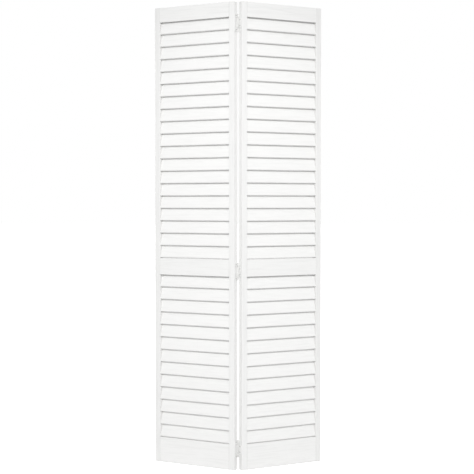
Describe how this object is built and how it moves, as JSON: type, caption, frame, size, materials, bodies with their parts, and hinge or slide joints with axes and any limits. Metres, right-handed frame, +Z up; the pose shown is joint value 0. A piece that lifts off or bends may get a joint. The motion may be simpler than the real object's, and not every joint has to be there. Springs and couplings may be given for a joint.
{
  "type": "louvred bi-fold door",
  "caption": "Bi-fold closet door of two hinged leaves, each a stile-and-rail frame with fixed tilted louvres above and below a mid rail, shown partly folded.",
  "frame": {"origin": "on the floor, at the middle of the bounding box of the door as it stands partly folded", "axes": "+Z up along the leaves; -Y is the side the fold points to, where the viewer stands; +X to the viewer's right. Joint value 0 is the pose in the picture."},
  "size_m": [0.7348, 0.2148, 2.0066],
  "materials": {
    "painted_wood": "white satin paint over primed pine",
    "painted_louvre": "white satin paint over primed pine slats",
    "dowel_wood": "bare beech",
    "hinge_enamel": "white powder-coated steel",
    "pin_steel": "bright steel",
    "screw_steel": "white-coated steel screws, coat thin in the recess"
  },
  "bodies": {
    "left_leaf": {"left_outer_stile": "painted_wood", "left_inner_stile": "painted_wood", "left_top_rail": "painted_wood", "left_top_rail_dowels": "dowel_wood", "left_mid_rail": "painted_wood", "left_mid_rail_dowels": "dowel_wood", "left_bottom_rail": "painted_wood", "left_bottom_rail_dowels": "dowel_wood", "left_upper_louvres": "painted_louvre", "left_lower_louvres": "painted_louvre", "top_hinge_windowed_plate": "hinge_enamel", "top_hinge_pin": "pin_steel", "top_hinge_left_screws": "screw_steel", "mid_hinge_windowed_plate": "hinge_enamel", "mid_hinge_pin": "pin_steel", "mid_hinge_left_screws": "screw_steel", "bottom_hinge_windowed_plate": "hinge_enamel", "bottom_hinge_pin": "pin_steel", "bottom_hinge_left_screws": "screw_steel"},
    "right_leaf": {"right_outer_stile": "painted_wood", "right_inner_stile": "painted_wood", "right_top_rail": "painted_wood", "right_top_rail_dowels": "dowel_wood", "right_mid_rail": "painted_wood", "right_mid_rail_dowels": "dowel_wood", "right_bottom_rail": "painted_wood", "right_bottom_rail_dowels": "dowel_wood", "right_upper_louvres": "painted_louvre", "right_lower_louvres": "painted_louvre", "top_hinge_nested_plate": "hinge_enamel", "top_hinge_right_screws": "screw_steel", "mid_hinge_nested_plate": "hinge_enamel", "mid_hinge_right_screws": "screw_steel", "bottom_hinge_nested_plate": "hinge_enamel", "bottom_hinge_right_screws": "screw_steel"}
  },
  "joints": [
    {"name": "leaf_fold", "type": "hinge", "parent": "left_leaf", "child": "right_leaf", "pos_m": [0, -0.08038, 0], "axis": [0, 0, 1], "range_deg": [-57, 123]}
  ]
}
